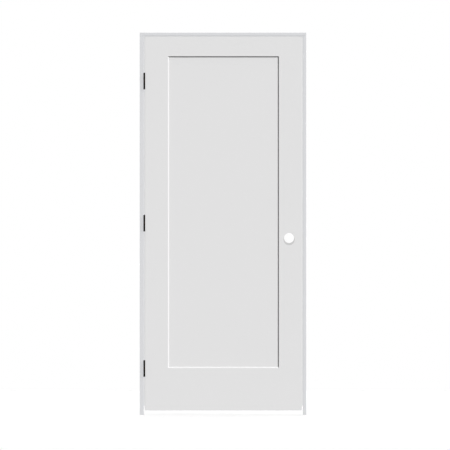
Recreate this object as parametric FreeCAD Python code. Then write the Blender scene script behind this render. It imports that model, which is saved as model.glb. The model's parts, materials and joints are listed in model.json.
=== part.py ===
"""Prehung interior door: a slab with one recessed flat panel, hung on three butt hinges
in a frame of three jambs with mitred stops.

Lengths are in millimetres. X runs across the opening from the hinge side, Y runs through the
wall away from the side that the door opens to, and Z is up. The origin is on the back of the
hinge jamb, where it is fixed to the wall, at floor level and half way through the wall.
"""

import FreeCAD
import Part

import math
import os

from FreeCAD import Vector

# Frame of jambs: 34 by 80 inch nominal door, 35 1/2 by 81 1/2 inches over the frame
FRAME_WIDTH = 901.7
FRAME_HEIGHT = 2070.1
HINGE_JAMB_THICKNESS = 22.2
STRIKE_JAMB_THICKNESS = 18.0
HEAD_JAMB_THICKNESS = 18.0
JAMB_DEPTH = 116.0
JAMB_EDGE_RADIUS = 0.8
HEAD_RABBET = 9.0

# Stops planted on the jambs
STOP_THICKNESS = 11.1
STOP_WIDTH = 32.0
STOP_FRONT_RADIUS = 1.2
STOP_BACK_RADIUS = 4.0
STOP_FLOOR_CLEARANCE = 49.0

# Slab and the clearances around it
SLAB_THICKNESS = 35.0
SLAB_EDGE_RADIUS = 1.0
HINGE_GAP = 5.2
STRIKE_GAP = 5.2
HEAD_GAP = 5.2
STOP_GAP = 5.2
FLOOR_GAP = 24.0
LOCK_EDGE_BEVEL = 3.0

# Stiles and rails, with a bevelled sticking and a groove for the panel along their inner edges
STILE_WIDTH = 131.0
TOP_RAIL_WIDTH = 110.8
BOTTOM_RAIL_WIDTH = 236.2
STICKING_WIDTH = 6.0
STICKING_DEPTH = 7.5
GROOVE_DEPTH = 12.0
TENON_LENGTH = 11.0
PANEL_THICKNESS = 16.0
PANEL_PLAY = 2.0

# Preparation for a lockset: through bore, latch bore, strike bore and the two plate recesses
LOCK_RISE = 934.0
LOCK_BACKSET = 69.85
LOCK_BORE_RADIUS = 27.0
LATCH_BORE_RADIUS = 12.7
STRIKE_BORE_RADIUS = 11.1
LATCH_PLATE_DEPTH = 3.2
STRIKE_PLATE_DEPTH = 2.0
PLATE_HEIGHT = 57.15
PLATE_WIDTH = 25.4
PLATE_CORNER_RADIUS = 6.35
PLATE_PLAY = 0.4

# Butt hinges: leaf sizes are from the pin's axis
LEAF_HEIGHT = 88.9
LEAF_WIDTH = 44.45
LEAF_THICKNESS = 2.2
LEAF_CORNER_RADIUS = 15.9
LEAF_PLAY = 0.25
KNUCKLE_COUNT = 5
KNUCKLE_GAP = 0.3
KNUCKLE_NOTCH = 0.6
PIN_RADIUS = 2.75
PIN_PLAY = 0.05
PIN_STANDOFF = 15.0
PIN_HEAD_RADIUS = 4.4
PIN_HEAD_HEIGHT = 1.6
SCREW_HEAD_RADIUS = 4.4
SCREW_PLAY = 0.2
SCREW_SPREAD = 30.0
SCREW_NEAR = 23.0
SCREW_FAR = 36.0
TOP_HINGE_DROP = 239.8
BOTTOM_HINGE_RISE = 227.0
MIDDLE_HINGE_RAISE = 8.85

# Places worked out from the sizes above
FRONT = -JAMB_DEPTH / 2
BACK = JAMB_DEPTH / 2
OPENING_LEFT = HINGE_JAMB_THICKNESS
OPENING_RIGHT = FRAME_WIDTH - STRIKE_JAMB_THICKNESS
OPENING_TOP = FRAME_HEIGHT - HEAD_JAMB_THICKNESS
SLAB_LEFT = OPENING_LEFT + HINGE_GAP
SLAB_RIGHT = OPENING_RIGHT - STRIKE_GAP
SLAB_TOP = OPENING_TOP - HEAD_GAP
SLAB_BOTTOM = FLOOR_GAP
SLAB_HEIGHT = SLAB_TOP - SLAB_BOTTOM
SLAB_BACK = FRONT + SLAB_THICKNESS
SLAB_MIDDLE = FRONT + SLAB_THICKNESS / 2
PANEL_RECESS = (SLAB_THICKNESS - PANEL_THICKNESS) / 2
PANEL_LEFT = SLAB_LEFT + STILE_WIDTH
PANEL_RIGHT = SLAB_RIGHT - STILE_WIDTH
PANEL_TOP = SLAB_TOP - TOP_RAIL_WIDTH
PANEL_BOTTOM = SLAB_BOTTOM + BOTTOM_RAIL_WIDTH
STOP_FRONT = SLAB_BACK + STOP_GAP
LOCK_HEIGHT = SLAB_BOTTOM + LOCK_RISE
LOCK_X = SLAB_RIGHT - LOCK_BACKSET
PIN_X = OPENING_LEFT + HINGE_GAP / 2
PIN_Y = FRONT - PIN_STANDOFF
BARREL_BORE = PIN_RADIUS + PIN_PLAY
BARREL_RADIUS = BARREL_BORE + LEAF_THICKNESS
TOP_HINGE = SLAB_TOP - TOP_HINGE_DROP
BOTTOM_HINGE = SLAB_BOTTOM + BOTTOM_HINGE_RISE
HINGE_HEIGHTS = {
    "top": TOP_HINGE,
    "middle": (TOP_HINGE + BOTTOM_HINGE) / 2 + MIDDLE_HINGE_RAISE,
    "bottom": BOTTOM_HINGE,
}
UP = Vector(0, 0, 1)


def profile(corners, to_space):
    """Flat face through corners given as (u, v) or (u, v, rounding radius)."""
    points = [Vector(corner[0], corner[1], 0) for corner in corners]
    radii = [corner[2] if len(corner) > 2 else 0 for corner in corners]
    turns = []
    for i, (point, radius) in enumerate(zip(points, radii)):
        back = (points[i - 1] - point).normalize()
        ahead = (points[(i + 1) % len(points)] - point).normalize()
        half = back.getAngle(ahead) / 2
        inward = (back + ahead).normalize() if radius else Vector()
        run = radius / math.tan(half)
        middle = point + inward * (radius / math.sin(half) - radius)
        turns.append((point + back * run, middle, point + ahead * run, radius))
    edges = []
    for i, (entry, middle, leave, radius) in enumerate(turns):
        if radius:
            arc = [to_space(p.x, p.y) for p in (entry, middle, leave)]
            edges.append(Part.Arc(*arc).toShape())
        start = to_space(leave.x, leave.y)
        following = turns[(i + 1) % len(turns)][0]
        edges.append(Part.LineSegment(start, to_space(following.x, following.y)).toShape())
    return Part.Face(Part.Wire(edges))


def box(low, high):
    """Box between two corners."""
    size = Vector(*high) - Vector(*low)
    return Part.makeBox(size.x, size.y, size.z, Vector(*low))


def rod(radius, start, along):
    """Cylinder from a point along a vector, as long as the vector."""
    return Part.makeCylinder(radius, along.Length, start, along)


def mirrored(shape):
    """The same piece on the other side of the opening."""
    return shape.mirror(Vector(FRAME_WIDTH / 2, 0, 0), Vector(1, 0, 0))


def plate_recess(face_x, inward, depth, middle_y):
    """Rounded pocket for a latch or strike plate, sunk along inward from the wood's face."""
    half_width = PLATE_WIDTH / 2 + PLATE_PLAY
    half_height = PLATE_HEIGHT / 2 + PLATE_PLAY
    radius = PLATE_CORNER_RADIUS + PLATE_PLAY
    corners = [
        (side * half_width, end * half_height, radius)
        for side, end in ((-1, -1), (1, -1), (1, 1), (-1, 1))
    ]
    start = face_x - inward.x * depth
    face = profile(corners, lambda u, v: Vector(start, middle_y + u, LOCK_HEIGHT + v))
    return face.extrude(inward * (2 * depth))


def jamb_section(near, far):
    """Corners of a jamb's section, between two faces of its thickness, with eased arrises."""
    return [
        (near, FRONT, JAMB_EDGE_RADIUS),
        (far, FRONT, JAMB_EDGE_RADIUS),
        (far, BACK, JAMB_EDGE_RADIUS),
        (near, BACK, JAMB_EDGE_RADIUS),
    ]


def side_jamb(thickness):
    """Jamb on the hinge side with the rabbet that the head jamb is let into."""
    section = profile(jamb_section(0, thickness), lambda u, v: Vector(u, v, 0))
    board = section.extrude(UP * FRAME_HEIGHT)
    rabbet = box(
        (thickness - HEAD_RABBET, 2 * FRONT, OPENING_TOP),
        (thickness + HEAD_RABBET, 2 * BACK, FRAME_HEIGHT + HEAD_JAMB_THICKNESS),
    )
    return board.cut(rabbet)


def head_jamb():
    """Head jamb, seated in the rabbets of both side jambs."""
    start = OPENING_LEFT - HEAD_RABBET
    end = OPENING_RIGHT + HEAD_RABBET
    section = profile(jamb_section(OPENING_TOP, FRAME_HEIGHT), lambda u, v: Vector(start, v, u))
    return section.extrude(Vector(end - start, 0, 0))


def strike_jamb():
    """Strike side jamb, recessed and bored for a strike plate and its latch."""
    inner_face = OPENING_RIGHT
    recess = plate_recess(inner_face, Vector(1, 0, 0), STRIKE_PLATE_DEPTH, SLAB_MIDDLE)
    start = Vector(inner_face - STRIKE_JAMB_THICKNESS, SLAB_MIDDLE, LOCK_HEIGHT)
    bore = rod(STRIKE_BORE_RADIUS, start, Vector(3 * STRIKE_JAMB_THICKNESS, 0, 0))
    return mirrored(side_jamb(STRIKE_JAMB_THICKNESS)).cut(recess).cut(bore)


def hinge_jamb():
    """Hinge side jamb, with a gain for each hinge leaf."""
    board = side_jamb(HINGE_JAMB_THICKNESS)
    return board.cut([leaf_gain(-1, height) for height in HINGE_HEIGHTS.values()])


def stop_section(base, outward):
    """Corners of a stop's section, from the jamb's face at base outward into the opening."""
    edge = base + outward * STOP_THICKNESS
    return [
        (base, STOP_FRONT),
        (edge, STOP_FRONT, STOP_FRONT_RADIUS),
        (edge, STOP_FRONT + STOP_WIDTH, STOP_BACK_RADIUS),
        (base, STOP_FRONT + STOP_WIDTH),
    ]


def mitre_waste(corner_x, toward, outer_corner):
    """Triangular block on one side of the mitre between a side stop and the head stop."""
    inner = (corner_x + toward * STOP_THICKNESS, OPENING_TOP - STOP_THICKNESS)
    triangle = [(corner_x, OPENING_TOP), inner, outer_corner]
    face = profile(triangle, lambda u, v: Vector(u, STOP_FRONT, v))
    return face.extrude(Vector(0, STOP_WIDTH, 0))


def side_stop(jamb_face):
    """Stop on the hinge side's jamb, mitred at the head and cut off short of the floor."""
    section = profile(
        stop_section(jamb_face, 1), lambda u, v: Vector(u, v, STOP_FLOOR_CLEARANCE)
    )
    bar = section.extrude(UP * (OPENING_TOP - STOP_FLOOR_CLEARANCE))
    return bar.cut(mitre_waste(jamb_face, 1, (jamb_face + STOP_THICKNESS, OPENING_TOP)))


def head_stop():
    """Stop on the head jamb, mitred at both ends."""
    section = profile(stop_section(OPENING_TOP, -1), lambda u, v: Vector(OPENING_LEFT, v, u))
    bar = section.extrude(Vector(OPENING_RIGHT - OPENING_LEFT, 0, 0))
    low = OPENING_TOP - STOP_THICKNESS
    left = mitre_waste(OPENING_LEFT, 1, (OPENING_LEFT, low))
    right = mitre_waste(OPENING_RIGHT, -1, (OPENING_RIGHT, low))
    return bar.cut([left, right])


def member_section(width, edge_radius=0, edge_setback=0):
    """Corners of a stile's or rail's section: u runs from its outer edge to its sticking,
    v from the slab's front face to its back face."""
    back = SLAB_THICKNESS
    return [
        (0, 0, edge_radius),
        (width - STICKING_WIDTH, 0),
        (width, STICKING_DEPTH),
        (width, PANEL_RECESS),
        (width - GROOVE_DEPTH, PANEL_RECESS),
        (width - GROOVE_DEPTH, back - PANEL_RECESS),
        (width, back - PANEL_RECESS),
        (width, back - STICKING_DEPTH),
        (width - STICKING_WIDTH, back),
        (edge_setback, back, edge_radius),
    ]


def hinge_stile_blank():
    """Stile on the hinge side, before the hinge gains are cut."""
    section = profile(
        member_section(STILE_WIDTH, SLAB_EDGE_RADIUS),
        lambda u, v: Vector(SLAB_LEFT + u, FRONT + v, SLAB_BOTTOM),
    )
    return section.extrude(UP * SLAB_HEIGHT)


def lock_stile_blank():
    """Stile on the lock side, its edge bevelled so that its back corner clears the jamb."""
    setback = SLAB_THICKNESS * math.tan(math.radians(LOCK_EDGE_BEVEL))
    section = profile(
        member_section(STILE_WIDTH, SLAB_EDGE_RADIUS, setback),
        lambda u, v: Vector(SLAB_RIGHT - u, FRONT + v, SLAB_BOTTOM),
    )
    return section.extrude(UP * SLAB_HEIGHT)


def hinge_stile():
    """Stile on the hinge side, with a gain for each hinge leaf."""
    return hinge_stile_blank().cut([leaf_gain(1, height) for height in HINGE_HEIGHTS.values()])


def lock_stile():
    """Stile on the lock side, with the through bore, the latch bore and the plate recess."""
    through = Vector(0, 3 * SLAB_THICKNESS, 0)
    lock_bore = rod(LOCK_BORE_RADIUS, Vector(LOCK_X, FRONT - SLAB_THICKNESS, LOCK_HEIGHT), through)
    reach = Vector(LOCK_BACKSET + STRIKE_GAP, 0, 0)
    latch_bore = rod(LATCH_BORE_RADIUS, Vector(LOCK_X, SLAB_MIDDLE, LOCK_HEIGHT), reach)
    edge_x = SLAB_RIGHT - SLAB_THICKNESS / 2 * math.tan(math.radians(LOCK_EDGE_BEVEL))
    recess = plate_recess(edge_x, Vector(-1, 0, 0), LATCH_PLATE_DEPTH, SLAB_MIDDLE)
    recess.rotate(Vector(edge_x, SLAB_MIDDLE, LOCK_HEIGHT), UP, LOCK_EDGE_BEVEL)
    return lock_stile_blank().cut([lock_bore, latch_bore, recess])


def rail(width, edge_z, toward_panel):
    """Rail from its outer edge at edge_z, with ends coped to the stiles' sticking and a stub
    tenon that fills each stile's groove."""
    start = PANEL_LEFT - TENON_LENGTH
    end = PANEL_RIGHT + TENON_LENGTH
    section = profile(
        member_section(width),
        lambda u, v: Vector(start, FRONT + v, edge_z + toward_panel * u),
    )
    blank = section.extrude(Vector(end - start, 0, 0))
    return blank.cut([hinge_stile_blank(), lock_stile_blank()])


def panel():
    """Flat panel, held in the grooves with room to move at its edges."""
    tuck = GROOVE_DEPTH - PANEL_PLAY
    return box(
        (PANEL_LEFT - tuck, FRONT + PANEL_RECESS, PANEL_BOTTOM - tuck),
        (PANEL_RIGHT + tuck, SLAB_BACK - PANEL_RECESS, PANEL_TOP + tuck),
    )


def leaf_outline(side, start, play, height):
    """Outline of a hinge leaf on its own wood face, from start mm behind the pin's axis, with
    its two far corners rounded. Play grows it on its three seated edges."""
    face_x = PIN_X + side * HINGE_GAP / 2
    far = LEAF_WIDTH + play
    half = LEAF_HEIGHT / 2 + play
    radius = LEAF_CORNER_RADIUS + play
    corners = [(start, -half), (far, -half, radius), (far, half, radius), (start, half)]
    return profile(corners, lambda u, v: Vector(face_x, PIN_Y + u, height + v))


def leaf_gain(side, height):
    """Gain that a leaf is let into, open at the front of the wood."""
    outline = leaf_outline(side, 0, LEAF_PLAY, height)
    over = outline.extrude(Vector(-side * HINGE_GAP / 2, 0, 0))
    return outline.extrude(Vector(side * LEAF_THICKNESS, 0, 0)).fuse(over).removeSplitter()


def knuckle_span(number):
    """Low and high end of a knuckle, from the hinge's middle."""
    pitch = LEAF_HEIGHT / KNUCKLE_COUNT
    low = -LEAF_HEIGHT / 2 + number * pitch
    high = low + pitch
    if number > 0:
        low += KNUCKLE_GAP / 2
    if number < KNUCKLE_COUNT - 1:
        high -= KNUCKLE_GAP / 2
    return low, high


def screw_holes(side, height):
    """Three holes of a leaf, as wide as its screws' heads, the middle one nearer to the barrel."""
    face_x = PIN_X + side * HINGE_GAP / 2
    radius = SCREW_HEAD_RADIUS + SCREW_PLAY
    inward = Vector(side * LEAF_THICKNESS, 0, 0)
    places = [(-SCREW_SPREAD, SCREW_FAR), (0, SCREW_NEAR), (SCREW_SPREAD, SCREW_FAR)]
    return [
        rod(radius, Vector(face_x, PIN_Y + reach, height + rise), inward)
        for rise, reach in places
    ]


def hinge_leaf(side, numbers, height):
    """Leaf with its knuckles rolled round the pin. Side is -1 on the jamb and 1 on the slab."""
    axis = Vector(PIN_X, PIN_Y, height)
    notch = BARREL_RADIUS + KNUCKLE_NOTCH
    plate = leaf_outline(side, notch, 0, height).extrude(Vector(side * LEAF_THICKNESS, 0, 0))
    near = PIN_X + side * HINGE_GAP / 2
    far = near + side * LEAF_THICKNESS
    pieces = []
    for number in numbers:
        low, high = knuckle_span(number)
        pieces.append(rod(BARREL_RADIUS, axis + UP * low, UP * (high - low)))
        pieces.append(
            box((min(near, far), PIN_Y, height + low), (max(near, far), PIN_Y + notch, height + high))
        )
    bore = rod(BARREL_BORE, axis - UP * LEAF_HEIGHT, UP * (2 * LEAF_HEIGHT))
    return plate.multiFuse(pieces).cut([bore, *screw_holes(side, height)]).removeSplitter()


def hinge_pin(height):
    """Loose pin with a button head that rests on the top knuckle."""
    middle = Vector(PIN_X, PIN_Y, height)
    top = LEAF_HEIGHT / 2
    crown = top + PIN_HEAD_HEIGHT
    outline = [
        (0, -top),
        (PIN_RADIUS, -top),
        (PIN_RADIUS, top),
        (PIN_HEAD_RADIUS, top),
        (PIN_HEAD_RADIUS, crown),
        (0, crown),
    ]
    section = profile(outline, lambda u, v: middle + Vector(u, 0, v))
    return section.revolve(middle, UP, 360)


def build():
    """Every piece of the door by name."""
    pieces = {
        "head_jamb": head_jamb(),
        "hinge_jamb": hinge_jamb(),
        "strike_jamb": strike_jamb(),
        "head_stop": head_stop(),
        "hinge_stop": side_stop(HINGE_JAMB_THICKNESS),
        "strike_stop": mirrored(side_stop(STRIKE_JAMB_THICKNESS)),
        "hinge_stile": hinge_stile(),
        "lock_stile": lock_stile(),
        "top_rail": rail(TOP_RAIL_WIDTH, SLAB_TOP, -1),
        "bottom_rail": rail(BOTTOM_RAIL_WIDTH, SLAB_BOTTOM, 1),
        "panel": panel(),
    }
    for name, height in HINGE_HEIGHTS.items():
        knuckles = range(KNUCKLE_COUNT)
        pieces[f"{name}_hinge_frame_leaf"] = hinge_leaf(-1, knuckles[::2], height)
        pieces[f"{name}_hinge_door_leaf"] = hinge_leaf(1, knuckles[1::2], height)
        pieces[f"{name}_hinge_pin"] = hinge_pin(height)
    return pieces


def main():
    os.makedirs("parts", exist_ok=True)
    for name, shape in build().items():
        shape.exportStep(f"parts/{name}.step")
        print(f"{name}: {len(shape.Solids)} solid, {shape.Volume / 1e6:.4f} litres")


main()
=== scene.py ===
"""Looks of the prehung interior door: primed slab, jambs and stops, and black butt hinges.

Lengths are in metres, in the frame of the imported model: X across the opening from the hinge
side, Y through the wall away from the side that the door opens to, Z up.
"""

import json
import math

import bmesh
import bpy
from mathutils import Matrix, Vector


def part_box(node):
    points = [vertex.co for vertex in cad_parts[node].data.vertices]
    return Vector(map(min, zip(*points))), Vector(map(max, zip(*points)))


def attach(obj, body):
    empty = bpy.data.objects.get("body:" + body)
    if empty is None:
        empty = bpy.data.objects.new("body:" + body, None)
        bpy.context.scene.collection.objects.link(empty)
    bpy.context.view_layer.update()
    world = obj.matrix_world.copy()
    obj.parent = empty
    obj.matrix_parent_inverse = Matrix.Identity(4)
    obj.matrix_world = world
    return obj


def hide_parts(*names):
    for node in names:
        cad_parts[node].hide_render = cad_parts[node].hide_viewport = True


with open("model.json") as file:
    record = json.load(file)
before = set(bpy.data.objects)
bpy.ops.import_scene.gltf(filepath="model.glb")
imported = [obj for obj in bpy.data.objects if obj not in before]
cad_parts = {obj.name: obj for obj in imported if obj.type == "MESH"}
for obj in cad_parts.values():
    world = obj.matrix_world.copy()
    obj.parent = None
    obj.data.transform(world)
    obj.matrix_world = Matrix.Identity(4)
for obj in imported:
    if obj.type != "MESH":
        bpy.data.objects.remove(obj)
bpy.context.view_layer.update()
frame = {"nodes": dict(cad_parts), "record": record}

# Camera of the catalogue picture: a long lens, level and square to the front of the frame
PICTURE_SIZE = 450
PIXEL_ON_DOOR = 0.005415
PICTURE_CENTRE_X = 0.4616
PICTURE_CENTRE_Z = 1.0283
LENS = 900.0
SENSOR = 36.0
CAMERA_REACH = 200

# Light, where 1 gives a face square to it the colour that it is painted. For each lamp: where
# its light comes from, its strength, its softness in degrees, and whether it casts shadows
LAMPS = {
    "front_lamp": ((0, -0.80, 0.60), 0.12, 8, False),
    "side_lamp": ((0.61, -0.63, 0.48), 0.08, 12, True),
    "side_fill": ((0.61, -0.63, 0.48), 1.204, 8, False),
    "back_lamp": ((0.35, 0.9, 0.12), 0.26, 25, True),
    "back_fill": ((-0.2, 0.9, 0.12), 0.40, 25, False),
    "left_lamp": ((-0.90, 0.30, 0.06), 0.68, 25, True),
    "top_lamp": ((0, 0, 1), 0.22, 80, True),
}
AIR_LIGHT = 0.06

# Floor, a pale sheet just below the feet of the jambs
FLOOR_REACH = 9.0
FLOOR_PARTS = 8
FLOOR_MIDDLE = (0.45, 0, -0.001)
FLOOR_TONE = (0.93, 0.95)
FLOOR_CLOUDS_PER_METRE = 3.0

# Colours in linear light
SLAB_WHITE = (0.740, 0.738, 0.740, 1.0)
JAMB_WHITE = (0.672, 0.678, 0.694, 1.0)
# Stops painted paler than the jambs: painted light that brightens the shaded gap round the slab
STOP_WHITE_WITH_PAINTED_LIGHT = (0.762, 0.764, 0.770, 1.0)
# Grey of drilled fibreboard, also used for the painted shadow below the lock bore
BARE_FIBRE_AND_SHADOW_GREY = (0.556, 0.555, 0.554, 1.0)
BARE_PINE = (0.620, 0.480, 0.320, 1.0)
HINGE_BLACK = (0.0024, 0.0018, 0.0016, 1.0)
RUBBED_BRONZE = (0.060, 0.026, 0.014, 1.0)

# Primer: its gloss, how much paler it is where it gathers along edges, and the share of the
# light that it passes on to other faces
PRIMER_GLOSS = 0.30
GATHERED_PRIMER = 0.05
PAINT_BOUNCE = 0.15

# Places without primer: the bores and the recesses for the latch plate and the strike. Also a
# painted
# shadow: a grey crescent on the slab's face below the lock bore
BARE_ROUGHNESS = 0.85
CUT_MARGIN = 0.0001
PLATE_REACH = (0.0035, 0.00635, 0.022225)
PLATE_CORNER_RADIUS = 0.00675
SHADOW_CRESCENT_RADIUS = 0.0294
SHADOW_CRESCENT_SOFTNESS = 0.002
SHADOW_CRESCENT_DEPTH = 0.0005
SHADOW_CRESCENT_DROP = 0.0088
SHADOW_CRESCENT_SHARE = 0.85

# Black coat of the hinges
COAT_GLOSS = 0.05

# Hinges
LEAF_WIDTH = 0.04445
LEAF_THICKNESS = 0.0022
LEAF_CORNER_RADIUS = 0.0159
BARREL_RADIUS = 0.0050
BARREL_BORE = 0.0028
KNUCKLE_COUNT = 5
KNUCKLE_GAP = 0.0003
KNUCKLE_NOTCH = 0.0006
PIN_RADIUS = 0.00275
PIN_POINT = 0.0004
PIN_HEAD_RADIUS = 0.0044
PIN_HEAD_EASING = 0.0002
PIN_DOME_SHARE = 0.65
PIN_DOME_STEPS = 6
EDGE_EASING = 0.00018
SLIVER = 0.000005

# Hinge screws: rise from the leaf's middle and reach from the pin's axis
SCREW_PLACES = ((-0.030, 0.036), (0.0, 0.023), (0.030, 0.036))
SCREW_HEAD_RADIUS = 0.0044
SCREW_HEAD_EASING = 0.0002
SCREW_SHANK_RADIUS = 0.0021
SCREW_LENGTH = 0.006
SCREW_SUNK = 0.00005
SINK_SLOPE = math.tan(math.radians(41))
SINK_PLAY = 0.0001
SINK_OVERRUN = 0.0004
SLOT_HALF_WIDTH = 0.00062
SLOT_REACH = 0.0024
SLOT_DEPTH = 0.0013
SLOT_FOOT_WIDTH = 0.7
SLOT_FOOT_REACH = 0.62

ROUND_STEPS = 48
NUMBER = "NodeSocketFloat"
VECTOR = "NodeSocketVector"
COLOUR = "NodeSocketColor"


# Nodes


def put(tree, kind, inputs=(), **settings):
    """Add a node. Settings are the node's own, inputs are values or links for its sockets."""
    node = tree.nodes.new(kind)
    for key, value in settings.items():
        setattr(node, key, value)
    for key, value in dict(inputs).items():
        if isinstance(value, bpy.types.NodeSocket):
            tree.links.new(value, node.inputs[key])
        else:
            node.inputs[key].default_value = value
    return node


def work_out(tree, way, *values):
    """One step of arithmetic on numbers."""
    return put(tree, "ShaderNodeMath", enumerate(values), operation=way).outputs[0]


def work_out_vector(tree, way, *values):
    """One step of arithmetic on vectors."""
    return put(tree, "ShaderNodeVectorMath", enumerate(values), operation=way).outputs[0]


def scaled(tree, vector, amount):
    """A vector or colour times a number."""
    inputs = {0: vector, "Scale": amount}
    return put(tree, "ShaderNodeVectorMath", inputs, operation="SCALE").outputs[0]


def measured(tree, way, *vectors):
    """A number from vectors: a length, a distance or how far one reaches along another."""
    return put(tree, "ShaderNodeVectorMath", enumerate(vectors), operation=way).outputs[1]


def between(tree, value, low, high, to_low=0.0, to_high=1.0):
    """A number carried from one range to another and held inside it."""
    inputs = {0: value, 1: low, 2: high, 3: to_low, 4: to_high}
    return put(tree, "ShaderNodeMapRange", inputs).outputs[0]


def blended(tree, amount, first, second):
    """Colour between two colours."""
    inputs = {0: amount, 6: first, 7: second}
    return put(tree, "ShaderNodeMix", inputs, data_type="RGBA").outputs[2]


def noise(tree, position, per_metre, detail=2.0):
    """Noise round 0, from about -0.5 to 0.5."""
    inputs = {"Vector": position, "Scale": per_metre, "Detail": detail}
    return work_out(tree, "SUBTRACT", put(tree, "ShaderNodeTexNoise", inputs).outputs[0], 0.5)


def effect(name, inputs, outputs):
    """Empty shader node group with its named inputs (kind, value) and outputs (kind)."""
    group = bpy.data.node_groups.new(name, "ShaderNodeTree")
    for label, (kind, value) in inputs.items():
        socket = group.interface.new_socket(label, in_out="INPUT", socket_type=kind)
        socket.default_value = value
    for label, kind in outputs.items():
        group.interface.new_socket(label, in_out="OUTPUT", socket_type=kind)
    return group, group.nodes.new("NodeGroupInput").outputs


# Camera, light and floor


def catalogue_camera():
    """Camera far in front of the door, level and square to it."""
    lens = bpy.data.cameras.new("catalogue_camera")
    lens.lens = LENS
    lens.sensor_width = SENSOR
    lens.clip_end = CAMERA_REACH
    camera = bpy.data.objects.new("catalogue_camera", lens)
    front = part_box("hinge_jamb")[0].y
    distance = PICTURE_SIZE * PIXEL_ON_DOOR * LENS / SENSOR
    camera.location = (PICTURE_CENTRE_X, front - distance, PICTURE_CENTRE_Z)
    camera.rotation_euler = (math.radians(90), 0, 0)
    bpy.context.scene.collection.objects.link(camera)
    bpy.context.scene.camera = camera


def lamp(name, come_from, strength, softness, shadows):
    """Distant lamp whose light comes from a direction."""
    light = bpy.data.lights.new(name, "SUN")
    light.energy = strength * math.pi
    light.angle = math.radians(softness)
    light.use_shadow = shadows
    holder = bpy.data.objects.new(name, light)
    holder.rotation_euler = Vector(come_from).to_track_quat("Z", "Y").to_euler()
    bpy.context.scene.collection.objects.link(holder)


def seen_directly(tree):
    """1 for what the camera sees directly, in a reflection or through glass, else 0."""
    rays = put(tree, "ShaderNodeLightPath").outputs
    mirrored = work_out(tree, "MAXIMUM", rays["Is Glossy Ray"], rays["Is Transmission Ray"])
    return work_out(tree, "MAXIMUM", rays["Is Camera Ray"], mirrored)


def shown_as(tree, to_camera, to_object):
    """Shader that gives one light to the camera and another to the object."""
    inputs = {0: seen_directly(tree), 1: to_object.outputs[0], 2: to_camera.outputs[0]}
    return put(tree, "ShaderNodeMixShader", inputs).outputs[0]


def studio_light():
    """Lamps for each side of the door, even air light on it, and white behind it."""
    for name, settings in LAMPS.items():
        lamp(name, *settings)
    world = bpy.data.worlds.new("studio_air")
    world.use_nodes = True
    bpy.context.scene.world = world
    tree = world.node_tree
    tree.nodes.clear()
    white = put(tree, "ShaderNodeBackground", {"Color": (1, 1, 1, 1), "Strength": 1.0})
    air = put(tree, "ShaderNodeBackground", {"Color": (1, 1, 1, 1), "Strength": AIR_LIGHT})
    put(tree, "ShaderNodeOutputWorld", {"Surface": shown_as(tree, white, air)})


def studio_floor():
    """Pale floor that keeps the door's shadow and throws back the air's light."""
    paper = bpy.data.materials.new("pale_floor")
    paper.use_nodes = True
    tree = paper.node_tree
    tree.nodes.clear()
    clouds = noise(tree, work_position(tree), FLOOR_CLOUDS_PER_METRE)
    tone = between(tree, clouds, -0.5, 0.5, *FLOOR_TONE)
    sheet = put(tree, "ShaderNodeBsdfDiffuse", {"Color": tone})
    air = put(tree, "ShaderNodeEmission", {"Color": (1, 1, 1, 1), "Strength": AIR_LIGHT})
    put(tree, "ShaderNodeOutputMaterial", {"Surface": shown_as(tree, sheet, air)})
    shape = bmesh.new()
    parts = {"x_segments": FLOOR_PARTS, "y_segments": FLOOR_PARTS}
    bmesh.ops.create_grid(shape, size=FLOOR_REACH, **parts)
    bmesh.ops.translate(shape, verts=shape.verts, vec=FLOOR_MIDDLE)
    made("floor", shape, paper)


# Effects that the finishes share


def cloudy_paint_effect():
    """Paint whose tone drifts a little from place to place and is finely flecked."""
    group, given = effect(
        "cloudy_paint",
        {
            "Paint": (COLOUR, (0.8, 0.8, 0.8, 1)),
            "Position": (VECTOR, (0, 0, 0)),
            "Clouds per Metre": (NUMBER, 5.0),
            "Cloud Depth": (NUMBER, 0.01),
            "Flecks per Metre": (NUMBER, 900.0),
            "Fleck Depth": (NUMBER, 0.01),
        },
        {"Paint": COLOUR},
    )
    clouds = noise(group, given["Position"], given["Clouds per Metre"], 3.0)
    flecks = noise(group, given["Position"], given["Flecks per Metre"], 1.0)
    drift = work_out(group, "MULTIPLY_ADD", clouds, given["Cloud Depth"], 1.0)
    tone = work_out(group, "MULTIPLY_ADD", flecks, given["Fleck Depth"], drift)
    put(group, "NodeGroupOutput", {"Paint": scaled(group, given["Paint"], tone)})
    return group


def sprayed_film_effect():
    """Surface of a sprayed film: fine orange peel on a slow wave."""
    group, given = effect(
        "sprayed_film",
        {
            "Position": (VECTOR, (0, 0, 0)),
            "Drops per Metre": (NUMBER, 600.0),
            "Drop Height": (NUMBER, 0.00001),
            "Waves per Metre": (NUMBER, 40.0),
            "Wave Height": (NUMBER, 0.00002),
            "Low Roughness": (NUMBER, 0.4),
            "High Roughness": (NUMBER, 0.5),
        },
        {"Height": NUMBER, "Roughness": NUMBER},
    )
    drops = noise(group, given["Position"], given["Drops per Metre"])
    waves = noise(group, given["Position"], given["Waves per Metre"], 1.0)
    swell = work_out(group, "MULTIPLY", waves, given["Wave Height"])
    height = work_out(group, "MULTIPLY_ADD", drops, given["Drop Height"], swell)
    patches = noise(group, given["Position"], given["Waves per Metre"], 4.0)
    roughness = between(
        group, patches, -0.25, 0.25, given["Low Roughness"], given["High Roughness"]
    )
    put(group, "NodeGroupOutput", {"Height": height, "Roughness": roughness})
    return group


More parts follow.
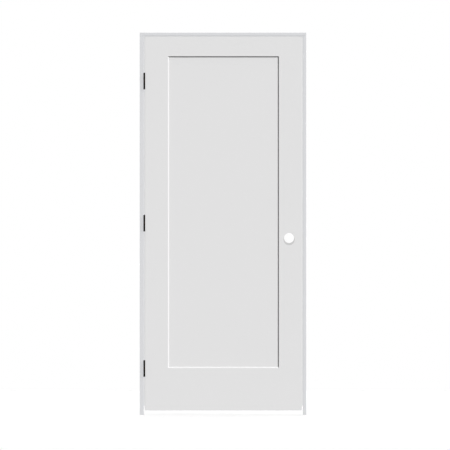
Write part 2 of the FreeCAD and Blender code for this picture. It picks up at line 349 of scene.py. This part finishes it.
def coat_edge_effect():
    """Along edges, where a coat gathers or is rubbed off, broken up along its length."""
    group, given = effect(
        "coat_edge",
        {
            "Position": (VECTOR, (0, 0, 0)),
            "Reach": (NUMBER, 0.001),
            "Breaks per Metre": (NUMBER, 300.0),
            "Facing where Flat": (NUMBER, 0.995),
            "Facing on Edge": (NUMBER, 0.80),
        },
        {"Mask": NUMBER},
    )
    softened = put(group, "ShaderNodeBevel", {"Radius": given["Reach"]}, samples=4)
    surface = put(group, "ShaderNodeNewGeometry").outputs["Normal"]
    facing = measured(group, "DOT_PRODUCT", softened.outputs[0], surface)
    turned = between(group, facing, given["Facing where Flat"], given["Facing on Edge"])
    breaks = noise(group, given["Position"], given["Breaks per Metre"], 3.0)
    mask = work_out(group, "MULTIPLY", turned, between(group, breaks, -0.18, 0.12))
    put(group, "NodeGroupOutput", {"Mask": mask})
    return group


def round_place_effect():
    """Inside a short round rod of space, such as a bore's wall or a mark on a face."""
    group, given = effect(
        "round_place",
        {
            "Position": (VECTOR, (0, 0, 0)),
            "Middle": (VECTOR, (0, 0, 0)),
            "Direction": (VECTOR, (0, 1, 0)),
            "Radius": (NUMBER, 0.01),
            "Half Length": (NUMBER, 0.01),
            "Softness": (NUMBER, 0.0001),
        },
        {"Mask": NUMBER},
    )
    from_middle = work_out_vector(group, "SUBTRACT", given["Position"], given["Middle"])
    along = measured(group, "DOT_PRODUCT", from_middle, given["Direction"])
    on_axis = scaled(group, given["Direction"], along)
    off_axis = measured(group, "DISTANCE", from_middle, on_axis)
    outer = work_out(group, "ADD", given["Radius"], given["Softness"])
    inside = between(group, off_axis, outer, given["Radius"])
    past_middle = work_out(group, "ABSOLUTE", along)
    within = work_out(group, "LESS_THAN", past_middle, given["Half Length"])
    put(group, "NodeGroupOutput", {"Mask": work_out(group, "MULTIPLY", inside, within)})
    return group


def plate_place_effect():
    """Inside a plate's recess, a box of space with rounded corners."""
    group, given = effect(
        "plate_place",
        {
            "Position": (VECTOR, (0, 0, 0)),
            "Middle": (VECTOR, (0, 0, 0)),
            "Reach to Corners": (VECTOR, (0.01, 0.01, 0.01)),
            "Corner Radius": (NUMBER, 0.005),
        },
        {"Mask": NUMBER},
    )
    from_middle = work_out_vector(group, "SUBTRACT", given["Position"], given["Middle"])
    away = work_out_vector(group, "ABSOLUTE", from_middle)
    past_corners = work_out_vector(group, "SUBTRACT", away, given["Reach to Corners"])
    outside = work_out_vector(group, "MAXIMUM", past_corners, (0, 0, 0))
    distance = measured(group, "LENGTH", outside)
    edge = work_out(group, "ADD", given["Corner Radius"], 2 * CUT_MARGIN)
    put(group, "NodeGroupOutput", {"Mask": work_out(group, "LESS_THAN", distance, edge)})
    return group


def drilled_fibre_effect():
    """Torn fibres on a drilled or routed wall, also laid over the painted shadow below the lock
    bore.
    """
    group, given = effect(
        "drilled_fibre",
        {
            "Paint": (COLOUR, (0.5, 0.5, 0.5, 1)),
            "Position": (VECTOR, (0, 0, 0)),
            "Fibres per Metre": (NUMBER, 1200.0),
            "Tone Depth": (NUMBER, 0.35),
            "Fibre Height": (NUMBER, 0.00025),
        },
        {"Paint": COLOUR, "Height": NUMBER},
    )
    fibres = noise(group, given["Position"], given["Fibres per Metre"], 3.0)
    tone = work_out(group, "MULTIPLY_ADD", fibres, given["Tone Depth"], 1.0)
    height = work_out(group, "MULTIPLY", fibres, given["Fibre Height"])
    paint = scaled(group, given["Paint"], tone)
    put(group, "NodeGroupOutput", {"Paint": paint, "Height": height})
    return group


def jointed_pine_effect():
    """Finger-jointed pine that shows faintly through primer, its length along Z."""
    group, given = effect(
        "jointed_pine",
        {
            "Position": (VECTOR, (0, 0, 0)),
            "Grain Height": (NUMBER, 0.00002),
            "Grain per Metre": (NUMBER, 260.0),
            "Grain Stretch": (VECTOR, (1, 1, 0.035)),
            "Tone Depth": (NUMBER, 0.012),
            "Block Length": (NUMBER, 0.31),
            "Block Shift": (VECTOR, (0.73, 0.37, 0)),
            "Finger Width": (NUMBER, 0.0042),
            "Finger Slope": (NUMBER, 2.4),
            "Joint Width": (NUMBER, 0.00045),
            "Joint Middle": (NUMBER, 0.00015),
        },
        {"Height": NUMBER, "Tone": NUMBER},
    )
    place = put(group, "ShaderNodeSeparateXYZ", {0: given["Position"]}).outputs
    across = work_out(group, "ADD", place["X"], place["Y"])
    finger = work_out(group, "PINGPONG", across, given["Finger Width"])
    zigzag = work_out(group, "MULTIPLY_ADD", finger, given["Finger Slope"], place["Z"])
    blocks = work_out(group, "DIVIDE", zigzag, given["Block Length"])
    block = work_out(group, "FLOOR", blocks)
    into_block = work_out(group, "FRACT", blocks)
    past_joint = work_out(group, "MULTIPLY", into_block, given["Block Length"])
    joint = between(group, past_joint, given["Joint Width"], given["Joint Middle"])
    shift = scaled(group, given["Block Shift"], block)
    drawn_out = work_out_vector(group, "MULTIPLY", given["Position"], given["Grain Stretch"])
    own_grain = work_out_vector(group, "ADD", drawn_out, shift)
    grain = noise(group, own_grain, given["Grain per Metre"], 4.0)
    raised = work_out(group, "SUBTRACT", grain, joint)
    height = work_out(group, "MULTIPLY", raised, given["Grain Height"])
    tone = work_out(group, "MULTIPLY_ADD", raised, given["Tone Depth"], 1.0)
    put(group, "NodeGroupOutput", {"Height": height, "Tone": tone})
    return group


def rubbed_coat_effect():
    """Black coat on steel that is rubbed to bronze where a mask says, with faint patches."""
    group, given = effect(
        "rubbed_coat",
        {
            "Coat": (COLOUR, (0.01, 0.01, 0.01, 1)),
            "Rubbed": (COLOUR, (0.1, 0.05, 0.02, 1)),
            "Position": (VECTOR, (0, 0, 0)),
            "Edge": (NUMBER, 0.0),
            "Rub": (NUMBER, 0.5),
            "Handled": (NUMBER, 0.0),
            "Patches per Metre": (NUMBER, 120.0),
            "Patch Depth": (NUMBER, 0.12),
        },
        {"Paint": COLOUR, "Metal": NUMBER},
    )
    spread = noise(group, given["Position"], given["Patches per Metre"], 3.0)
    patches = between(group, spread, 0.05, 0.35, 0.0, given["Patch Depth"])
    worn = work_out(group, "MULTIPLY_ADD", given["Edge"], given["Rub"], patches)
    worn = work_out(group, "ADD", worn, given["Handled"])
    metal = work_out(group, "MINIMUM", worn, 1.0)
    paint = blended(group, metal, given["Coat"], given["Rubbed"])
    put(group, "NodeGroupOutput", {"Paint": paint, "Metal": metal})
    return group


# Finishes


def work_position(tree):
    """Place on the piece, in metres, which stays with the piece when it moves."""
    return put(tree, "ShaderNodeTexCoord").outputs["Object"]


def finish(name, gloss):
    """Empty material, its tree and its shader. Gloss is the shader's specular level."""
    material = bpy.data.materials.new(name)
    material.use_nodes = True
    tree = material.node_tree
    shader = tree.nodes["Principled BSDF"]
    shader.inputs["Specular IOR Level"].default_value = gloss
    return material, tree, shader


def surface(tree, shader, paint, roughness, height):
    """Give the shader its colour and roughness, and its relief in metres."""
    relief = put(tree, "ShaderNodeBump", {"Height": height, "Distance": 1.0, "Strength": 1.0})
    tree.links.new(paint, shader.inputs["Base Color"])
    tree.links.new(roughness, shader.inputs["Roughness"])
    tree.links.new(relief.outputs["Normal"], shader.inputs["Normal"])


def placed(tree, group, inputs):
    """Place an effect in a material with its own values."""
    return put(tree, "ShaderNodeGroup", inputs, node_tree=group).outputs


def mount(name):
    """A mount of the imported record."""
    return next(m for m in frame["record"]["mounts"] if m["name"] == name)


def bore_wall(name):
    """The wall of a bore, as a place without primer."""
    bore = mount(name)
    reach = {
        "Middle": bore["pos_m"],
        "Direction": bore["axis"],
        "Radius": bore["dims"]["r_mm"] / 1000 + CUT_MARGIN,
        "Half Length": bore["dims"]["length_mm"] / 2000 + CUT_MARGIN,
        "Softness": CUT_MARGIN,
    }
    return "round_place", reach, 1.0


def plate_recess(name):
    """The recess for a plate at the open end of a bore, as a place without primer."""
    bore = mount(name)
    half_length = bore["dims"]["length_mm"] / 2000
    middle = Vector(bore["pos_m"]) + Vector(bore["axis"]) * half_length
    reach = {
        "Middle": middle,
        "Reach to Corners": PLATE_REACH,
        "Corner Radius": PLATE_CORNER_RADIUS,
    }
    return "plate_place", reach, 1.0


def painted_shadow_crescent():
    """Painted shadow: a grey crescent on the slab's face below the lock bore's mouth, over most of
    the primer's colour.
    """
    bore = mount("lock_bore")
    middle = Vector(bore["pos_m"]) - Vector((0, 0, SHADOW_CRESCENT_DROP))
    middle.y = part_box("lock_stile")[0].y
    reach = {
        "Middle": middle,
        "Direction": bore["axis"],
        "Radius": SHADOW_CRESCENT_RADIUS,
        "Half Length": SHADOW_CRESCENT_DEPTH,
        "Softness": SHADOW_CRESCENT_SOFTNESS,
    }
    return "round_place", reach, SHADOW_CRESCENT_SHARE


def primer(name, colour, effects, bare_and_shadow_places=(), bare_and_shadow_tone=BARE_FIBRE_AND_SHADOW_GREY, pine_along=None):
    """White factory primer, with the wood or fibreboard showing where it is drilled or routed, and
    painted shadow where a place for it is given.
    """
    material, tree, shader = finish(name, PRIMER_GLOSS)
    position = work_position(tree)
    paint = placed(
        tree,
        effects["cloudy_paint"],
        {
            "Paint": colour,
            "Position": position,
            "Clouds per Metre": 4.0,
            "Cloud Depth": 0.012,
            "Flecks per Metre": 1300.0,
            "Fleck Depth": 0.016,
        },
    )["Paint"]
    film = placed(
        tree,
        effects["sprayed_film"],
        {
            "Position": position,
            "Drops per Metre": 520.0,
            "Drop Height": 0.000022,
            "Waves per Metre": 45.0,
            "Wave Height": 0.00006,
            "Low Roughness": 0.42,
            "High Roughness": 0.54,
        },
    )
    height = film["Height"]
    if pine_along:
        length_up = position
        if pine_along == "X":
            split = put(tree, "ShaderNodeSeparateXYZ", {0: position}).outputs
            turned = {0: split["Z"], 1: split["Y"], 2: split["X"]}
            length_up = put(tree, "ShaderNodeCombineXYZ", turned).outputs[0]
        pine = placed(
            tree,
            effects["jointed_pine"],
            {"Position": length_up, "Grain Height": 0.00003, "Block Length": 0.31},
        )
        paint = scaled(tree, paint, pine["Tone"])
        height = work_out(tree, "ADD", height, pine["Height"])
    edge = placed(
        tree,
        effects["coat_edge"],
        {"Position": position, "Reach": 0.0014, "Breaks per Metre": 220.0},
    )["Mask"]
    gathered = work_out(tree, "MULTIPLY_ADD", edge, GATHERED_PRIMER, 1.0)
    paint = scaled(tree, paint, gathered)
    roughness = film["Roughness"]
    # Each place is either unprimed wood or a painted shadow, and takes the given tone with a torn
    # surface
    bare_and_shadow_mask = None
    for place_effect, reach, share in bare_and_shadow_places:
        place = placed(tree, effects[place_effect], {"Position": position, **reach})["Mask"]
        place = work_out(tree, "MULTIPLY", place, share)
        bare_and_shadow_mask = place if bare_and_shadow_mask is None else work_out(tree, "MAXIMUM", bare_and_shadow_mask, place)
    if bare_and_shadow_mask is not None:
        fibre_and_shadow = placed(
            tree,
            effects["drilled_fibre"],
            {"Paint": bare_and_shadow_tone, "Position": position, "Fibres per Metre": 1200.0},
        )
        torn = work_out(tree, "MULTIPLY", fibre_and_shadow["Height"], bare_and_shadow_mask)
        height = work_out(tree, "ADD", height, torn)
        paint = blended(tree, bare_and_shadow_mask, paint, fibre_and_shadow["Paint"])
        roughness = between(tree, bare_and_shadow_mask, 0.0, 1.0, roughness, BARE_ROUGHNESS)
    # Faces pass on little light to each other, so gaps and mouldings keep their dark lines
    lent = put(tree, "ShaderNodeLightPath").outputs["Is Diffuse Ray"]
    held_back = work_out(tree, "MULTIPLY", lent, 1 - PAINT_BOUNCE)
    paint = blended(tree, held_back, paint, (0, 0, 0, 1))
    surface(tree, shader, paint, roughness, height)
    return material


def black_coat(name, effects, rub, handled, roughness):
    """Matte black coat of the hinges, rubbed along its edges and where it is handled."""
    material, tree, shader = finish(name, COAT_GLOSS)
    position = work_position(tree)
    edge = placed(
        tree,
        effects["coat_edge"],
        {"Position": position, "Reach": 0.0005, "Breaks per Metre": 700.0},
    )["Mask"]
    coat = placed(
        tree,
        effects["rubbed_coat"],
        {
            "Coat": HINGE_BLACK,
            "Rubbed": RUBBED_BRONZE,
            "Position": position,
            "Edge": edge,
            "Rub": rub,
            "Handled": handled,
        },
    )
    paint = placed(
        tree,
        effects["cloudy_paint"],
        {
            "Paint": coat["Paint"],
            "Position": position,
            "Clouds per Metre": 60.0,
            "Cloud Depth": 0.3,
            "Flecks per Metre": 3500.0,
            "Fleck Depth": 0.25,
        },
    )["Paint"]
    film = placed(
        tree,
        effects["sprayed_film"],
        {
            "Position": position,
            "Drops per Metre": 2600.0,
            "Drop Height": 0.000012,
            "Waves per Metre": 300.0,
            "Wave Height": 0.00002,
            "Low Roughness": roughness[0],
            "High Roughness": roughness[1],
        },
    )
    tree.links.new(coat["Metal"], shader.inputs["Metallic"])
    surface(tree, shader, paint, film["Roughness"], film["Height"])
    return material


# Shapes


def made(name, shape, material):
    """Turn a bmesh into an object in the scene."""
    bmesh.ops.recalc_face_normals(shape, faces=shape.faces)
    mesh = bpy.data.meshes.new(name)
    shape.to_mesh(mesh)
    shape.free()
    mesh.materials.append(material)
    piece = bpy.data.objects.new(name, mesh)
    bpy.context.scene.collection.objects.link(piece)
    return piece


def arc(centre, radius, start, end, steps):
    """Points of an arc, with both its ends."""
    turns = [start + (end - start) * i / steps for i in range(steps + 1)]
    return [
        (centre[0] + radius * math.cos(turn), centre[1] + radius * math.sin(turn))
        for turn in turns
    ]


def circle(radius, steps=ROUND_STEPS):
    """Points of a circle round 0."""
    return arc((0, 0), radius, 0, 2 * math.pi * (steps - 1) / steps, steps - 1)


def skin(shape, loops, to_space):
    """Bands of faces between loops of (u, v) points at a depth, all with as many points."""
    rings = [
        [shape.verts.new(to_space(u, v, depth)) for u, v in points] for points, depth in loops
    ]
    for ring, after in zip(rings, rings[1:]):
        count = len(ring)
        for i in range(count):
            j = (i + 1) % count
            shape.faces.new((ring[i], ring[j], after[j], after[i]))
    return rings


def solid(name, loops, to_space, material):
    """Closed solid through loops, with flat ends."""
    shape = bmesh.new()
    rings = skin(shape, loops, to_space)
    shape.faces.new(rings[0])
    shape.faces.new(rings[-1])
    return made(name, shape, material)


def settle(piece):
    """Replace the piece's mesh by what its modifiers make of it, without slivers."""
    seen = piece.evaluated_get(bpy.context.evaluated_depsgraph_get())
    result = bpy.data.meshes.new_from_object(seen)
    piece.modifiers.clear()
    piece.data = result
    shape = bmesh.new()
    shape.from_mesh(result)
    bmesh.ops.remove_doubles(shape, verts=shape.verts, dist=SLIVER)
    bmesh.ops.dissolve_degenerate(shape, edges=shape.edges, dist=SLIVER)
    shape.to_mesh(result)
    shape.free()


def fitted(piece, way, tools):
    """Join tools to the piece or take them out of it, and clear them away."""
    for tool in tools:
        step = piece.modifiers.new("fit", "BOOLEAN")
        step.operation = way
        step.solver = "EXACT"
        step.material_mode = "TRANSFER"
        step.object = tool
    settle(piece)
    for tool in tools:
        bpy.data.objects.remove(tool)


def shade(piece, sharp_angle):
    """Shade the piece smooth, but not over edges that turn by more than an angle in degrees."""
    piece.data.shade_smooth()
    piece.data.set_sharp_from_angle(angle=math.radians(sharp_angle))


def ease(piece, width):
    """Round the piece's sharp edges a little."""
    step = piece.modifiers.new("ease", "BEVEL")
    step.width = width
    step.segments = 2
    step.limit_method = "ANGLE"
    step.angle_limit = math.radians(40)
    settle(piece)
    shade(piece, 50)


def hinge_axis(height_name):
    """Middle of a hinge, on its pin's axis."""
    low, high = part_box(f"{height_name}_hinge_pin")
    leaf_low, leaf_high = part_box(f"{height_name}_hinge_frame_leaf")
    return Vector(((low.x + high.x) / 2, (low.y + high.y) / 2, (leaf_low.z + leaf_high.z) / 2))


def knuckle_span(number, half_height):
    """Low and high end of a knuckle, from the hinge's middle."""
    pitch = 2 * half_height / KNUCKLE_COUNT
    low = -half_height + number * pitch
    high = low + pitch
    if number > 0:
        low += KNUCKLE_GAP / 2
    if number < KNUCKLE_COUNT - 1:
        high -= KNUCKLE_GAP / 2
    return low, high


def leaf_plate(name, half_height, on_leaf, material):
    """Plate of a leaf, its two far corners rounded."""
    near = BARREL_RADIUS + KNUCKLE_NOTCH
    centre_u = LEAF_WIDTH - LEAF_CORNER_RADIUS
    centre_v = half_height - LEAF_CORNER_RADIUS
    quarter = math.pi / 2
    outline = [(near, -half_height)]
    outline += arc((centre_u, -centre_v), LEAF_CORNER_RADIUS, -quarter, 0, 12)
    outline += arc((centre_u, centre_v), LEAF_CORNER_RADIUS, 0, quarter, 12)
    outline += [(near, half_height)]
    return solid(name, [(outline, 0.0), (outline, LEAF_THICKNESS)], on_leaf, material)


def knuckle(name, gap, low, high, in_plan, material):
    """Knuckle as the end of the leaf, rolled round the pin until it meets the leaf again."""
    inner = gap / 2
    outer = inner + LEAF_THICKNESS
    start = math.atan2(math.sqrt(BARREL_RADIUS**2 - outer**2), outer)
    end = math.atan2(math.sqrt(BARREL_RADIUS**2 - inner**2), inner) - 2 * math.pi
    tail = BARREL_RADIUS + 3 * KNUCKLE_NOTCH
    outline = arc((0, 0), BARREL_RADIUS, start, end, ROUND_STEPS)
    outline += [(inner, tail), (outer, tail)]
    return solid(name, [(outline, low), (outline, high)], in_plan, material)


def hinge_leaf(name, side, numbers, middle, half_height, gap, coats):
    """Leaf with rolled knuckles and countersunk holes. Side is -1 on the jamb, 1 on the slab."""
    material = coats["leaf"]

    def on_leaf(reach, rise, depth):
        return middle + Vector((side * (gap / 2 + depth), reach, rise))

    def in_plan(u, v, rise):
        return middle + Vector((side * u, v, rise))

    leaf = leaf_plate(name, half_height, on_leaf, material)
    rolled = []
    for number in numbers:
        low, high = knuckle_span(number, half_height)
        coat = coats["middle_knuckle"] if number == KNUCKLE_COUNT // 2 else material
        rolled.append(knuckle("knuckle", gap, low, high, in_plan, coat))
    fitted(leaf, "UNION", rolled)
    past_ends = 2 * half_height
    bore = circle(BARREL_BORE)
    cuts = [solid("bore", [(bore, -past_ends), (bore, past_ends)], in_plan, material)]
    for rise, reach in SCREW_PLACES:
        top = SCREW_HEAD_RADIUS + SINK_PLAY
        wide = [(u + reach, v + rise) for u, v in circle(top + SINK_OVERRUN * SINK_SLOPE)]
        deep = LEAF_THICKNESS + SINK_OVERRUN
        narrow = [(u + reach, v + rise) for u, v in circle(top - deep * SINK_SLOPE)]
        cuts.append(solid("sink", [(wide, -SINK_OVERRUN), (narrow, deep)], on_leaf, material))
    fitted(leaf, "DIFFERENCE", cuts)
    ease(leaf, EDGE_EASING)
    return leaf


def hinge_pin(name, middle, half_height, material):
    """Loose pin with a domed button head."""
    low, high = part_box(name)
    crown = high.z - middle.z
    head = crown - half_height
    rings = [
        (PIN_RADIUS - PIN_POINT, -half_height),
        (PIN_RADIUS, -half_height + PIN_POINT),
        (PIN_RADIUS, half_height),
        (PIN_HEAD_RADIUS - PIN_HEAD_EASING, half_height),
        (PIN_HEAD_RADIUS, half_height + PIN_HEAD_EASING),
    ]
    dome = PIN_DOME_SHARE * head
    for i in range(PIN_DOME_STEPS):
        turn = math.pi / 2 * i / PIN_DOME_STEPS
        rings.append((PIN_HEAD_RADIUS * math.cos(turn), crown - dome + dome * math.sin(turn)))
    loops = [(circle(radius), rise) for radius, rise in rings]

    def on_axis(u, v, rise):
        return middle + Vector((u, v, rise))

    pin = solid(f"{name}_button", loops, on_axis, material)
    shade(pin, 35)
    return pin


def cross(half_width, reach, turn):
    """Outline of a cross recess."""
    w, r = half_width, reach
    corners = [
        (r, -w), (r, w), (w, w), (w, r), (-w, r), (-w, w),
        (-r, w), (-r, -w), (-w, -w), (-w, -r), (w, -r), (w, -w),
    ]
    c, s = math.cos(turn), math.sin(turn)
    return [(u * c - v * s, u * s + v * c) for u, v in corners]


def hinge_screw(name, turn, to_space, material):
    """Countersunk screw with a cross recess, its head flush with the leaf."""
    shape = bmesh.new()
    rim = SCREW_HEAD_RADIUS
    neck = (rim - SCREW_SHANK_RADIUS) / SINK_SLOPE
    body = [
        (circle(rim - SCREW_HEAD_EASING), SCREW_SUNK),
        (circle(rim), SCREW_HEAD_EASING),
        (circle(SCREW_SHANK_RADIUS), SCREW_HEAD_EASING + neck),
        (circle(SCREW_SHANK_RADIUS), SCREW_LENGTH),
    ]
    rings = skin(shape, body, to_space)
    shape.faces.new(rings[-1])
    foot = cross(SLOT_FOOT_WIDTH * SLOT_HALF_WIDTH, SLOT_FOOT_REACH * SLOT_REACH, turn)
    recess = [(cross(SLOT_HALF_WIDTH, SLOT_REACH, turn), SCREW_SUNK), (foot, SLOT_DEPTH)]
    walls = skin(shape, recess, to_space)
    shape.faces.new(walls[-1])
    shape.edges.ensure_lookup_table()
    open_edges = [edge for edge in shape.edges if len(edge.link_faces) == 1]
    bmesh.ops.triangle_fill(shape, use_beauty=True, use_dissolve=False, edges=open_edges)
    screw = made(name, shape, material)
    shade(screw, 30)
    return screw


def ride(piece, body):
    """The piece moves with a body."""
    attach(piece, body)


def hinges(coats):
    """The three hinges in place of their plain solids, and their screws."""
    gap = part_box("hinge_stile")[0].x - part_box("hinge_jamb")[1].x
    for height_name in ("top", "middle", "bottom"):
        middle = hinge_axis(height_name)
        low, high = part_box(f"{height_name}_hinge_frame_leaf")
        half_height = (high.z - low.z) / 2
        for body, side, first in (("frame", -1, 0), ("door", 1, 1)):
            node = f"{height_name}_hinge_{body}_leaf"
            numbers = range(first, KNUCKLE_COUNT, 2)
            leaf = hinge_leaf(f"{node}_rolled", side, numbers, middle, half_height, gap, coats)
            ride(leaf, body)
            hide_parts(node)
            for number, (rise, reach) in enumerate(SCREW_PLACES):
                # No two crosses stand at the same turn
                turn = 0.7 + 1.9 * number + 0.8 * side + middle.z

                def sunk(u, v, depth):
                    return middle + Vector((side * (gap / 2 + depth), reach + u, rise + v))

                screw = hinge_screw(f"{node}_screw_{number + 1}", turn, sunk, coats["screw"])
                ride(screw, body)
        pin = hinge_pin(f"{height_name}_hinge_pin", middle, half_height, coats["pin"])
        ride(pin, "frame")
        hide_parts(f"{height_name}_hinge_pin")


def dress(nodes, material):
    """Give CAD nodes their material."""
    for node in nodes:
        mesh = frame["nodes"][node].data
        mesh.materials.clear()
        mesh.materials.append(material)


def door():
    """Finishes of all the CAD nodes that show, and the three hinges."""
    effects = {
        "cloudy_paint": cloudy_paint_effect(),
        "sprayed_film": sprayed_film_effect(),
        "coat_edge": coat_edge_effect(),
        "round_place": round_place_effect(),
        "plate_place": plate_place_effect(),
        "drilled_fibre": drilled_fibre_effect(),
        "jointed_pine": jointed_pine_effect(),
        "rubbed_coat": rubbed_coat_effect(),
    }
    # The slab's places: unprimed bore walls and latch recess, and the painted shadow below the
    # lock bore
    slab_bare_and_shadow_places = [
        bore_wall("lock_bore"), bore_wall("latch_bore"), plate_recess("latch_bore"), painted_shadow_crescent(),
    ]
    dress(
        ["hinge_stile", "lock_stile", "top_rail", "bottom_rail", "panel"],
        primer("slab_primer", SLAB_WHITE, effects, slab_bare_and_shadow_places),
    )
    jamb_places = [bore_wall("strike_bore"), plate_recess("strike_bore")]
    dress(
        ["hinge_jamb", "strike_jamb"],
        primer("side_jamb_primer", JAMB_WHITE, effects, jamb_places, BARE_PINE, "Z"),
    )
    dress(["head_jamb"], primer("head_jamb_primer", JAMB_WHITE, effects, pine_along="X"))
    # The stops' paler white is painted light for the shaded gap round the slab
    side_stops = primer("side_stop_primer", STOP_WHITE_WITH_PAINTED_LIGHT, effects, pine_along="Z")
    dress(["hinge_stop", "strike_stop"], side_stops)
    dress(["head_stop"], primer("head_stop_primer", STOP_WHITE_WITH_PAINTED_LIGHT, effects, pine_along="X"))
    coats = {
        "leaf": black_coat("hinge_black", effects, 0.35, 0.0, (0.42, 0.58)),
        "middle_knuckle": black_coat("knuckle_bronze", effects, 0.45, 0.16, (0.36, 0.48)),
        "pin": black_coat("pin_black", effects, 0.45, 0.0, (0.36, 0.50)),
        "screw": black_coat("screw_black", effects, 0.60, 0.0, (0.34, 0.50)),
    }
    hinges(coats)


bpy.context.scene.view_settings.view_transform = "Standard"
catalogue_camera()
studio_light()
studio_floor()
door()
